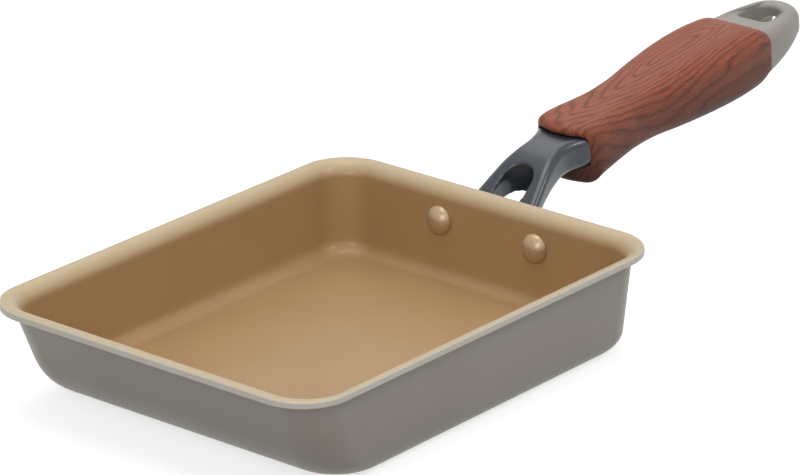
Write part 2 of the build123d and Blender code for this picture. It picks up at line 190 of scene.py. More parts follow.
class GripSizes(PropertyGroup):
    """The moulded grip and where the handle's axis runs."""

    reach: length("Reach", 38.0, "From the rim out to the grip's front")
    rise: length("Rise", 8.0, "From the rim up to the middle of the grip's front")
    tilt: angle("Tilt", 4.9, "Climb of the handle's axis")
    long: length("Length", 109.5, "Length of the grip")
    wide: length("Width", 34.0, "Widest section")
    high: length("Height", 26.2, "Highest section")
    nose_edge: length("Nose edge", 2.2, "Rounding of the front edge")
    nose_reach: length("Nose reach", 3.0, "How far the middle of the front stands out")
    nose_radius: length("Nose radius", 20.0, "Radius of the front seen from above")
    nose_lean: angle("Nose lean", 7.0, "Lean of the front, out over the arm at its top")
    mouth_gap: length("Mouth gap", 0.3, "Gap round the arm's neck")


class CapSizes(PropertyGroup):
    """The tail piece with the hanging loop."""

    long: length("Length", 31.5, "From the seam to the tip")
    tip_thickness: length("Tip thickness", 10.8, "Thickness at the tip")
    end_radius: length("End radius", 11.5, "Radius of the tip seen from above")
    edge: length("Edge", 5.0, "Rounding of the outer edges")
    hole_start: length("Hole start", 8.1, "From the seam to the hole's straight front wall")
    hole_length: length("Hole length", 14.6, "Length of the hole")
    hole_width: length("Hole width", 13.8, "Width of the hole")
    hole_corner: length("Hole corner", 2.2, "Radius of the hole's two front corners")
    hole_edge: length("Hole edge", 1.6, "Rounding of the hole's edges")
    groove_roof: length("Groove roof", 4.4, "Thickness left over the groove under the tip")
    groove_radius: length("Groove radius", 5.5, "Radius of that groove")


class Finishes(PropertyGroup):
    """The colours of the finishes."""

    gold: colour("Inside coating", "A8875E", "Champagne gold of the cooking surface")
    rivet: colour("Rivet heads", "B79C7A", "Metal under the thin coating on the heads")
    # painted highlight: the inside's colour over the lip, drawn paler where light is mirrored
    lip: colour("Lip highlight", "BDA988", "The inside's coating with a painted highlight over the lip")
    greige: colour("Outside coating", "837D72", "Warm grey of the outside")
    # painted highlight: the outside's colour over the lip's edge
    rim: colour("Rim edge", "B9B3A6", "The outside's paint with a painted highlight over the lip's edge")
    arm: colour("Arm paint", "2B3139", "Blue-grey of the cast arm")
    wood_light: colour("Wood light", "9C573F", "Lighter bands of the wood-look grip")
    wood_dark: colour("Wood dark", "773F2F", "Darker lines of the wood-look grip")
    cap: colour("Loop plastic", "928D85", "Warm light grey of the hanging loop")
    steel: colour("Steel", "BFBFBC", "Base plate and fasteners")


class CameraPlace(PropertyGroup):
    """Where the photograph's camera stands."""

    azimuth: angle("Azimuth", -50.588, "Turn of the camera round the pan")
    elevation: angle("Elevation", 21.417, "Height of the camera over the horizon")
    distance: length("Distance", 1737.38, "From the camera to the middle of the rim")
    aside: length("Aside", 25.74, "How far the camera stands to the right of that middle")
    above: length("Above", 12.07, "How far it stands over it")
    lens: FloatProperty(
        name="Lens", description="Focal length on a 36 mm sensor", default=225.0, min=1.0)


def place_ring(x_low, x_high, half, level, radius):
    """A level ring of the pan, from its two ends, its half width and its corner radius."""
    centre = Vector(((x_low + x_high) / 2, 0, level))
    return Ring(centre, right_way, left_way, (x_high - x_low) / 2, half, radius)


def add_object(name, operator, **settings):
    """Deselects everything, adds a primitive, a lamp or a camera, and names it."""
    bpy.ops.object.select_all(action="DESELECT")
    operator(**settings)
    bpy.context.object.name = name
    return bpy.context.object


def open_piece():
    """Puts a new piece's place in its mesh, and selects all of it in edit mode."""
    bpy.ops.object.transform_apply(location=True, rotation=True, scale=True)
    bpy.ops.object.mode_set(mode="EDIT")
    bpy.ops.mesh.select_all(action="SELECT")


def start_piece(name, ring, steps, side_cuts=0):
    """A new piece in edit mode: a plane at a ring with its corners rounded, all selected."""
    turn = Matrix((ring.wide, ring.high, ring.wide.cross(ring.high))).transposed().to_euler()
    plane = bpy.ops.mesh.primitive_plane_add
    piece = add_object(name, plane, size=1, location=ring.centre, rotation=turn)
    piece.scale = (2 * ring.half_wide, 2 * ring.half_high, 1)
    open_piece()
    bpy.ops.mesh.bevel(offset=ring.radius, segments=steps, affect="VERTICES")
    if side_cuts:
        # the four straight sides, which are far longer than the corners' facets
        straight = 2 * min(ring.half_wide, ring.half_high) - 2 * ring.radius
        choose(piece, "EDGE", lambda edge: edge.calc_length() > 0.9 * straight)
        bpy.ops.mesh.subdivide(number_cuts=side_cuts)
        bpy.ops.mesh.select_mode(type="VERT")
        bpy.ops.mesh.select_all(action="SELECT")
    return piece


def quarter(radius, steps):
    """The inset and the rise from step to step round a quarter of a circle."""
    turns = [k * pi / 2 / steps for k in range(steps + 1)]
    return [(radius * (1 - cos(turn)), radius * sin(turn)) for turn in turns]


def handle_line(grip):
    """The middle of the grip's front, and the ways along the handle and up from it."""
    front = Vector((pan_high.x + grip.reach, 0, pan_high.z + grip.rise))
    level, climb = cos(grip.tilt), sin(grip.tilt)
    return front, Vector((level, 0, climb)), Vector((-climb, 0, level))


def rivet_seat(context):
    """The place between the rivets on the wall's outer face, and the ways out of it and up it."""
    body, drop = context.scene.pan_body_sizes, context.scene.pan_rivet_sizes.drop
    across, lean = cos(body.side_draft), sin(body.side_draft)
    seat = Vector((pan_high.x - body.overhang - drop * lean / across, 0, pan_high.z - drop))
    return seat, Vector((across, 0, -lean)), Vector((lean, 0, across))


def start_outline(name, points):
    """A new piece in edit mode: a flat face through the given points, all selected."""
    circle = bpy.ops.mesh.primitive_circle_add
    piece = add_object(name, circle, vertices=len(points), radius=10 * mm, fill_type="NGON")
    for vertex, point in zip(piece.data.vertices, points):
        vertex.co = point
    open_piece()
    return piece


def face_outwards():
    """Selects all of the piece in edit mode and turns its faces outwards."""
    bpy.ops.mesh.select_all(action="SELECT")
    bpy.ops.mesh.normals_make_consistent(inside=False)


def choose(piece, kind, test):
    """Selects only the vertices, edges or faces of the piece in edit mode that pass a test."""
    bpy.ops.mesh.select_mode(type=kind)
    bpy.ops.mesh.select_all(action="DESELECT")
    shape = bmesh.from_edit_mesh(piece.data)
    for part in {"VERT": shape.verts, "EDGE": shape.edges, "FACE": shape.faces}[kind]:
        if test(part):
            part.select = True
    shape.select_flush_mode()
    bmesh.update_edit_mesh(piece.data)


def spread_side(piece, centre, way, straight, shift):
    """Moves the selected vertices off a centre, those of the straight side less, in proportion."""
    shape = bmesh.from_edit_mesh(piece.data)
    for vertex in shape.verts:
        if vertex.select:
            reach = (vertex.co - centre).dot(way)
            vertex.co += way * shift * max(-1, min(1, reach / straight))
    bmesh.update_edit_mesh(piece.data)


def draw_ring(piece, ring, target):
    """Extrudes the selected face from its ring to the next, and slides its sides into place."""
    bpy.ops.mesh.extrude_region_move(TRANSFORM_OT_translate={"value": target.centre - ring.centre})
    turn = atan2(target.high.x, target.high.z) - atan2(ring.high.x, ring.high.z)
    if abs(turn) > 1e-6 and abs(target.high.y) < 1e-6:
        # with no window the turn goes the other way
        bpy.ops.transform.rotate(value=-turn, orient_axis="Y", center_override=target.centre)
    share = target.radius / ring.radius
    if abs(share - 1) > 1e-6:
        bpy.ops.transform.resize(value=(share, share, share), center_override=target.centre)
    for way, half, old_half in (
            (target.wide, target.half_wide, ring.half_wide * share),
            (target.high, target.half_high, ring.half_high * share)):
        if abs(half - old_half) > 1e-9:
            # a side that is all but gone still needs a length here
            straight = max(old_half - ring.radius * share, 1e-6)
            spread_side(piece, target.centre, way, straight, half - old_half)


def draw_rings(piece, rings):
    """Draws a wall through a row of rings. The face at the first one is selected."""
    for ring, target in zip(rings, rings[1:]):
        draw_ring(piece, ring, target)


def choose_face_near(piece, place):
    """Selects the face whose middle lies nearest to a place, a large one before a small one."""
    faces = bmesh.from_edit_mesh(piece.data).faces
    face = min(faces, key=lambda f: (f.calc_center_median() - place).length - f.calc_area()).index
    choose(piece, "FACE", lambda f: f.index == face)
    bpy.ops.mesh.select_mode(type="VERT")


def apply_modifier(piece, kind, **settings):
    """Adds a modifier to a piece, sets it and applies it."""
    bpy.ops.object.select_all(action="DESELECT")
    piece.select_set(True)
    bpy.context.view_layer.objects.active = piece
    modifier = piece.modifiers.new(kind.title(), kind)
    for name, value in settings.items():
        setattr(modifier, name, value)
    bpy.ops.object.modifier_apply(modifier=modifier.name)


def close_piece(piece, smooth_angle, merge=0.01 * mm):
    """Ends a piece: doubles merged, normals outwards, smooth shading led by the larger faces."""
    if bpy.context.mode != "EDIT_MESH":
        bpy.ops.object.mode_set(mode="EDIT")
    bpy.ops.mesh.select_all(action="SELECT")
    bpy.ops.mesh.remove_doubles(threshold=merge)
    bpy.ops.mesh.normals_make_consistent(inside=False)
    bpy.ops.object.mode_set(mode="OBJECT")
    bpy.ops.object.shade_smooth_by_angle(angle=smooth_angle)
    apply_modifier(piece, "WEIGHTED_NORMAL", keep_sharp=True)
    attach(piece, body_name)


def combine(piece, other, operation):
    """Adds or cuts another piece, which is then deleted."""
    apply_modifier(piece, "BOOLEAN", object=other, operation=operation, solver="EXACT")
    bpy.data.objects.remove(other)


def curve(start, end, leave, arrive, t):
    """A point of the smooth curve from one place to another, from how it leaves and arrives."""
    return (
        start * ((1 + 2 * t) * (1 - t) ** 2) + leave * (t * (1 - t) ** 2)
        + end * (t * t * (3 - 2 * t)) + arrive * (t * t * (t - 1)))


def smooth_between(places, values, place, end_slopes=(None, None)):
    """A value at a place between stations, on a smooth curve through them."""
    last = len(places) - 1
    place = min(max(place, places[0]), places[-1])
    k = next(i for i in range(last) if places[i + 1] >= place)
    slopes = []
    for i in (k, k + 1):
        low, high = max(i - 1, 0), min(i + 1, last)
        slope = (values[high] - values[low]) / (places[high] - places[low])
        given = end_slopes[0] if i == 0 else end_slopes[1] if i == last else None
        slopes.append(slope if given is None else given)
    span = places[k + 1] - places[k]
    leave, arrive = (span * slope for slope in slopes)
    return curve(values[k], values[k + 1], leave, arrive, (place - places[k]) / span)


def set_stops(ramp, stops):
    """Gives a colour ramp its stops, pairs of a position and a linear colour."""
    ramp.interpolation = "EASE"
    while len(ramp.elements) < len(stops):
        ramp.elements.new(0.5)
    for element, (position, shade) in zip(ramp.elements, stops):
        element.position = position
        element.color = (*shade, 1)


def add_node(tree, kind, settings=None, **links):
    """Adds a shader node, sets its values by name or number, and links sockets to its inputs."""
    made = tree.nodes.new("ShaderNode" + kind)
    for name, value in (settings or {}).items():
        if name == "stops":
            set_stops(made.color_ramp, value)
        elif isinstance(name, int) or name in made.inputs:
            made.inputs[name].default_value = value
        else:
            setattr(made, name, value)
    for name, socket in links.items():
        key = int(name[1:]) if name[0] == "_" else name.replace("_", " ")
        tree.links.new(socket, made.inputs[key])
    return made


def new_material(name, **values):
    """A material with a Principled shader whose own sockets hold the given values."""
    material = bpy.data.materials.new(name)
    material.use_nodes = True
    shader = material.node_tree.nodes["Principled BSDF"]
    for key, value in values.items():
        shader.inputs[key.replace("_", " ")].default_value = value
    return material, material.node_tree, shader


def start_finish(name, **values):
    """A new material, its nodes, its shader, and the place on the piece that its patterns read."""
    material, tree, shader = new_material(name, **values)
    return material, tree, shader, add_node(tree, "TexCoord").outputs["Object"]


def scaled(shade, share):
    """A colour made darker or lighter by a share."""
    return [min(1, c * share) for c in shade]


def cloudy(tree, place, shade, size, low, high, detail=2.0):
    """A colour that drifts between two shares of itself, in clouds of the given size."""
    cloud = add_node(tree, "TexNoise", {"Scale": 1 / size, "Detail": detail}, Vector=place)
    stops = [(0.3, scaled(shade, low)), (0.7, scaled(shade, high))]
    return add_node(tree, "ValToRGB", {"stops": stops}, Fac=cloud.outputs["Fac"]).outputs["Color"]


def painted_highlight(tree, place, paint, pale, low, high, fade):
    """Paint that turns paler between two heights: a painted highlight there."""
    level = add_node(tree, "SeparateXYZ", _0=place)
    heights = {"interpolation_type": fade, "From Min": low, "From Max": high}
    # how far into the painted highlight each height lies
    thin = add_node(tree, "MapRange", heights, Value=level.outputs["Z"])
    both = {"data_type": "RGBA", 7: (*pale, 1)}
    return add_node(tree, "Mix", both, _0=thin.outputs["Result"], _6=paint).outputs[2]


def finish_off(tree, shader, paint, place, size, strength, depth, detail=2.0, roughness=0.5):
    """Gives a shader its colour, and a relief of fine grains of the given size and depth."""
    tree.links.new(paint, shader.inputs["Base Color"])
    grains = {"Scale": 1 / size, "Detail": detail, "Roughness": roughness}
    grain = add_node(tree, "TexNoise", grains, Vector=place)
    relief = {"Strength": strength, "Distance": depth}
    bump = add_node(tree, "Bump", relief, Height=grain.outputs["Fac"])
    tree.links.new(bump.outputs["Normal"], shader.inputs["Normal"])


def gold_coating(finishes):
    """Fluoropolymer non-stick coating with mica flake, sprayed on and baked."""
    # mica under the clear polymer gives a soft pearl sheen, and the spray a faint mottle
    material, tree, shader, place = start_finish(
        "gold_mica_nonstick",
        Metallic=0.1, Roughness=0.55, IOR=1.38, Coat_Weight=0.4, Coat_IOR=1.38, Coat_Roughness=0.2)
    fine = {"Scale": 1 / (1.6 * mm), "Detail": 3.0, "Roughness": 0.6}
    mottle = add_node(tree, "TexNoise", fine, Vector=place)
    cloud = add_node(tree, "TexNoise", {"Scale": 1 / (28 * mm), "Detail": 2.0}, Vector=place)
    sum_up = {"operation": "MULTIPLY_ADD", 1: 0.55}
    both = add_node(tree, "Math", sum_up, _0=mottle.outputs["Fac"], _2=cloud.outputs["Fac"])
    stops = [(0.42, scaled(finishes.gold, 0.95)), (0.9, scaled(finishes.gold, 1.04))]
    paint = add_node(tree, "ValToRGB", {"stops": stops}, Fac=both.outputs["Value"]).outputs["Color"]
    # painted highlight: the coating is drawn paler over the rolled lip
    low, high = pan_high.z - 6 * mm, pan_high.z - 0.5 * mm
    paint = painted_highlight(tree, place, paint, finishes.lip, low, high, "SMOOTHSTEP")
    finish_off(tree, shader, paint, place, size=0.5 * mm, strength=0.12, depth=0.05 * mm)
    return material


def coated_rivet(finishes):
    """Aluminium rivet, cold headed, with the inside's coating sprayed thinly over its head."""
    # the metal's shine comes through, so the dome is bright above and dark below
    material, tree, shader, place = start_finish(
        "thinly_coated_aluminium",
        Metallic=0.45, Roughness=0.4, Coat_Weight=0.4, Coat_IOR=1.38, Coat_Roughness=0.25)
    paint = cloudy(tree, place, finishes.rivet, size=0.8 * mm, low=0.9, high=1.04, detail=3.0)
    finish_off(
        tree, shader, paint, place, size=0.8 * mm, strength=0.12, depth=0.05 * mm, detail=3.0)
    return material


def greige_coating(finishes, lip_bottom):
    """Silicone-polyester heat-resistant paint on the outside, rolled on and baked."""
    # a satin film with a very slight orange peel
    material, tree, shader, place = start_finish(
        "greige_baked_paint",
        Metallic=0.1, Roughness=0.42, IOR=1.5, Coat_Weight=0.1, Coat_Roughness=0.3)
    paint = cloudy(tree, place, finishes.greige, size=30 * mm, low=0.96, high=1.03)
    # painted highlight: the paint is drawn paler over the edge of the lip
    paint = painted_highlight(tree, place, paint, finishes.rim, lip_bottom, lip_bottom + 0.4 * mm, "LINEAR")
    finish_off(
        tree, shader, paint, place, size=0.9 * mm, strength=0.08, depth=0.05 * mm, detail=1.0)
    return material


def arm_paint(finishes):
    """Heat-resistant paint with fine metal flake over an aluminium die casting."""
    # the flake softens the gloss, and the casting's unevenness shows faintly under it
    material, tree, shader, place = start_finish(
        "blue_grey_flake_paint",
        Metallic=0.3, Roughness=0.36, IOR=1.5, Coat_Weight=0.45, Coat_Roughness=0.13)
    paint = cloudy(tree, place, finishes.arm, size=5 * mm, low=0.9, high=1.08, detail=3.0)
    finish_off(tree, shader, paint, place, size=0.6 * mm, strength=0.15, depth=0.05 * mm)
    return material


def wood_look(finishes, grip):
    """Phenolic resin, compression moulded, faced with a printed film of flat-sawn wood grain."""
    # nearly dull, so the print carries the look: reddish bands, darker lines and fine pores
    material, tree, shader, place = start_finish(
        "wood_print_phenolic", Roughness=0.55, IOR=1.5, Specular_IOR_Level=0.3)
    front = handle_line(grip)[0]
    turned = {"vector_type": "TEXTURE", "Location": front, "Rotation": (0, -grip.tilt, 0)}
    along = add_node(tree, "Mapping", turned, Vector=place).outputs["Vector"]
    # growth rings cut nearly flat: long ovals about a heart in the rear half, bent by a slow noise
    ring_gap, bend_size, bend_reach = 1.5 * mm, 11 * mm, Vector((7, 7, 3)) * mm
    oval = Vector((0.17, 1.0, 0.6))
    heart = Vector((oval.x * 0.62 * grip.long, 1 * mm, 6.5 * mm)) + bend_reach / 2
    oval_step = {"operation": "MULTIPLY", 1: oval}
    flat = add_node(tree, "VectorMath", oval_step, _0=along).outputs["Vector"]
    slow = {"Scale": 1 / bend_size, "Detail": 3.0, "Roughness": 0.45}
    warp = add_node(tree, "TexNoise", slow, Vector=flat).outputs["Color"]
    bend_step = {"operation": "MULTIPLY_ADD", 1: bend_reach}
    bent = add_node(tree, "VectorMath", bend_step, _0=warp, _2=flat).outputs["Vector"]
    heart_step = {"operation": "SUBTRACT", 1: heart}
    centred = add_node(tree, "VectorMath", heart_step, _0=bent).outputs["Vector"]
    reach = add_node(tree, "VectorMath", {"operation": "LENGTH"}, _0=centred).outputs["Value"]
    rings = add_node(tree, "Math", {"operation": "MULTIPLY", 1: 1 / ring_gap}, _0=reach)
    saw = add_node(tree, "Math", {"operation": "FRACT"}, _0=rings.outputs["Value"])
    light, dark = list(finishes.wood_light), list(finishes.wood_dark)
    middle = [(a + b) / 2 for a, b in zip(light, dark)]
    stops = [(0.0, middle), (0.2, light), (0.6, light), (0.9, dark), (1.0, middle)]
    bands = add_node(tree, "ValToRGB", {"stops": stops}, Fac=saw.outputs["Value"]).outputs["Color"]
    # pores and streaks that run with the grain
    pore_size = 0.8 * mm
    grain_step = {"operation": "MULTIPLY", 1: (0.06, 1.0, 1.0)}
    fibre = add_node(tree, "VectorMath", grain_step, _0=along).outputs["Vector"]
    fine = {"Scale": 1 / pore_size, "Detail": 4.0, "Roughness": 0.7}
    streak = add_node(tree, "TexNoise", fine, Vector=fibre).outputs["Fac"]
    pores = {"stops": [(0.36, (0.6, 0.55, 0.53)), (0.62, (1.0, 1.0, 1.0))]}
    shade = add_node(tree, "ValToRGB", pores, Fac=streak).outputs["Color"]
    printed = {"data_type": "RGBA", "blend_type": "MULTIPLY", "clamp_result": True, 0: 0.75}
    paint = add_node(tree, "Mix", printed, _6=bands, _7=shade).outputs[2]
    # painted shade: the colour is darkened toward the underside, which faces away from the light
    level = add_node(tree, "SeparateXYZ", _0=along).outputs["Z"]
    underside_shade = {"From Min": -13 * mm, "From Max": 11 * mm, "To Min": 0.12, "To Max": 1.0}
    share = add_node(tree, "MapRange", underside_shade, Value=level).outputs["Result"]
    shaded_print = add_node(tree, "VectorMath", {"operation": "SCALE"}, _0=paint, Scale=share)
    finish_off(
        tree, shader, shaded_print.outputs["Vector"], fibre,
        size=pore_size, strength=0.2, depth=0.08 * mm, detail=4.0, roughness=0.7)
    return material


def loop_plastic(finishes):
    """Glass-filled nylon, injection moulded with a fine spark-eroded texture."""
    # even and dull, with a broad soft light on its rounded edges
    material, tree, shader, place = start_finish("greige_moulded_nylon", Roughness=0.46, IOR=1.53)
    paint = cloudy(tree, place, finishes.cap, size=8 * mm, low=0.97, high=1.03)
    finish_off(tree, shader, paint, place, size=0.4 * mm, strength=0.15, depth=0.04 * mm)
    return material


def ground_steel(finishes):
    """Stainless steel sheet with a fine ground finish, its scratches along the pan."""
    # they break the light up into lines, drawn at 0.3 mm, coarser than real, so that they show
    material, tree, shader, place = start_finish(
        "ground_stainless_steel", Metallic=1.0, Roughness=0.34)
    along = {"operation": "MULTIPLY", 1: (0.02, 1.0, 1.0)}
    lines = add_node(tree, "VectorMath", along, _0=place).outputs["Vector"]
    paint = cloudy(tree, lines, finishes.steel, size=0.3 * mm, low=0.93, high=1.0, detail=3.0)
    finish_off(
        tree, shader, paint, lines, size=0.3 * mm, strength=0.15, depth=0.03 * mm, detail=3.0)
    return material


def plated_steel(finishes):
    """Bright zinc plating on turned and stamped steel."""
    # a clean grey shine with faint darker spots
    material, tree, shader, place = start_finish(
        "bright_zinc_plating", Metallic=1.0, Roughness=0.28)
    paint = cloudy(tree, place, finishes.steel, size=1.5 * mm, low=0.9, high=1.0, detail=3.0)
    tree.links.new(paint, shader.inputs["Base Color"])
    return material


class OMELETTE_OT_body(Operator):
    """Draw the tub: its inside from the lip to the floor, then its outside to the base"""

    bl_idname = "omelette.body"
    bl_label = "Pan body"

    def execute(self, context):
        self.sizes = sizes = context.scene.pan_body_sizes
        lip_bottom = pan_high.z - sizes.wall
        edge_level = pan_high.z - sizes.lip_edge
        edge = [
            self.ring(edge_level + rise, [inset] * 3, sizes.rim_corner - inset)
            for inset, rise in quarter(sizes.lip_edge, 4)
        ]
        first, inner_corner = edge[0], sizes.wall_corner - sizes.wall
        inside = self.skin(pan_high.z, sizes.lip_roll, sizes.floor, sizes.wall, inner_corner, 9)
        piece = start_piece("pan_shell", first, sizes.corner_steps)
        finishes = context.scene.pan_finishes
        piece.data.materials.append(greige_coating(finishes, lip_bottom))
        piece.data.materials.append(gold_coating(finishes))
        draw_rings(piece, edge)
        # the rest is hidden while the inside gets its finish
        bpy.ops.mesh.hide(unselected=True)
        draw_rings(piece, [edge[-1]] + inside)
        bpy.ops.mesh.select_all(action="SELECT")
        piece.active_material_index = 1
        bpy.ops.object.material_slot_assign()
        bpy.ops.mesh.reveal(select=False)

        under_edge = 0.3 * mm
        levels = ((edge_level, 0), (lip_bottom + under_edge, 0), (lip_bottom, under_edge))
        outside = [
            self.ring(level, [inset] * 3, sizes.rim_corner - inset) for level, inset in levels]
        under_roll = sizes.lip_roll - sizes.wall
        outside += self.skin(lip_bottom, under_roll, pan_low.z, 0, sizes.wall_corner, 8)
        gap = sizes.plate_gap
        recess = (plate_low.x - gap, plate_high.x + gap, plate_high.y + gap)
        for level in (pan_low.z, plate_high.z):
            outside.append(place_ring(*recess, level, sizes.plate_corner))
        choose_face_near(piece, Vector((0, 0, edge_level)))
        draw_rings(piece, outside)
        close_piece(piece, radians(40))
        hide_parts("pan_body")
        return {"FINISHED"}

    def skin(self, top, roll, floor, skin, corner, steps):
        """The rings of one skin of the sheet: the lip's roll, the walls, the roll to the floor."""
        sizes, rings = self.sizes, []
        for down, _ in quarter(roll, steps):
            insets = self.insets(top, 1, [roll] * 3, top - down, skin)
            rings.append(self.ring(top - down, insets, max(corner, sizes.rim_corner - insets[0])))
        join = floor + (sizes.far_roll - skin) * (1 - sin(sizes.far_draft))
        levels = [top - roll + (join - top + roll) * k / 4 for k in (1, 2, 3)]
        levels += [floor + (join - floor) * (1 - k / 16) ** 2 for k in range(17)]
        rolls = [roll - skin for roll in (sizes.side_roll, sizes.far_roll, sizes.near_roll)]
        feet = ((level, self.insets(floor, -1, rolls, level, skin)) for level in levels)
        return rings + [self.ring(level, insets, corner) for level, insets in feet]

    def ring(self, level, insets, radius):
        """A ring at a level, from its insets at the sides, the far wall and the handle's wall."""
        side, far, near = insets
        return place_ring(pan_low.x + far, pan_high.x - near, pan_high.y - side, level, radius)

    def wall_line(self, draft, level, skin):
        """Inset of a straight wall at a level. The skin is the sheet for the inside, or none."""
        return self.sizes.overhang + (pan_high.z - level) * tan(draft) + skin / cos(draft)

    def insets(self, face, side, rolls, level, skin):
        """Insets at a level of walls that roll into a face over them, side 1, or under, side -1."""
        drafts = (self.sizes.side_draft, self.sizes.far_draft, self.sizes.side_draft)
        found = []
        for draft, roll in zip(drafts, rolls):
            middle = face - side * roll
            tangent = middle + side * roll * sin(draft)
            if side * (level - tangent) <= 0:
                found.append(self.wall_line(draft, level, skin))
                continue
            start = self.wall_line(draft, tangent, skin) - side * roll * cos(draft)
            found.append(start + side * sqrt(max(0, roll**2 - (level - middle) ** 2)))
        return found


class OMELETTE_OT_base_plate(Operator):
    """Finish the plate that is pressed into the base"""

    bl_idname = "omelette.base_plate"
    bl_label = "Base plate"

    def execute(self, context):
        plate = frame["nodes"]["base_plate"]
        plate.data.materials[0] = ground_steel(context.scene.pan_finishes)
        return {"FINISHED"}


class OMELETTE_OT_rivets(Operator):
    """Turn the two rivets: dome, shank and set tail in one piece"""

    bl_idname = "omelette.rivets"
    bl_label = "Rivets"

    def execute(self, context):
        sizes = context.scene.pan_rivet_sizes
        wall = context.scene.pan_body_sizes.wall
        seat, out, _ = rivet_seat(context)
        finish = coated_rivet(context.scene.pan_finishes)
        head, shank, tail, edge = sizes.head / 2, sizes.shank / 2, sizes.tail / 2, sizes.head_edge
        rise = sizes.head_height - edge
        dome = (head**2 + rise**2) / (2 * rise)
        widest = asin(head / dome)
        # pairs of the distance outwards from the wall's inner face and the radius there
        turns = [widest * k / 10 for k in range(1, 10)]
        profile = [(-edge - dome * (cos(turn) - cos(widest)), dome * sin(turn)) for turn in turns]
        profile += [(-edge, head - 0.05 * mm), (-edge * 0.8, head), (0, head), (0, shank)]
        clamped = wall + context.scene.pan_arm_sizes.foot_thickness
        profile += [(clamped, shank), (clamped, tail)]
        turns = [k * pi / 14 for k in range(1, 7)]
        profile += [
            (clamped + sizes.tail_height * sin(turn), tail * cos(turn) ** 0.5) for turn in turns]
        for name, side in (("rivet_left", 1), ("rivet_right", -1)):
            middle = seat + left_way * side * sizes.spacing / 2 - out * wall
            piece = self.turn(name + "_turned", middle, out, profile)
            piece.data.materials.append(finish)
            close_piece(piece, radians(50))
            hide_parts(name)
        return {"FINISHED"}

    def turn(self, name, seat, out, profile):
        """A turned piece: a disc extruded and resized from point to point of its profile."""
        at, radius = profile[0]
        turn = up_way.rotation_difference(out).to_euler()
        piece = add_object(
            name, bpy.ops.mesh.primitive_circle_add, vertices=48, radius=radius,
            fill_type="NGON", location=seat + out * at, rotation=turn)
        open_piece()
        for (old_at, old_radius), (at, radius) in zip(profile, profile[1:]):
            bpy.ops.mesh.extrude_region_move(TRANSFORM_OT_translate={"value": out * (at - old_at)})
            share = radius / old_radius
            bpy.ops.transform.resize(value=(share, share, share), center_override=seat + out * at)
        return piece


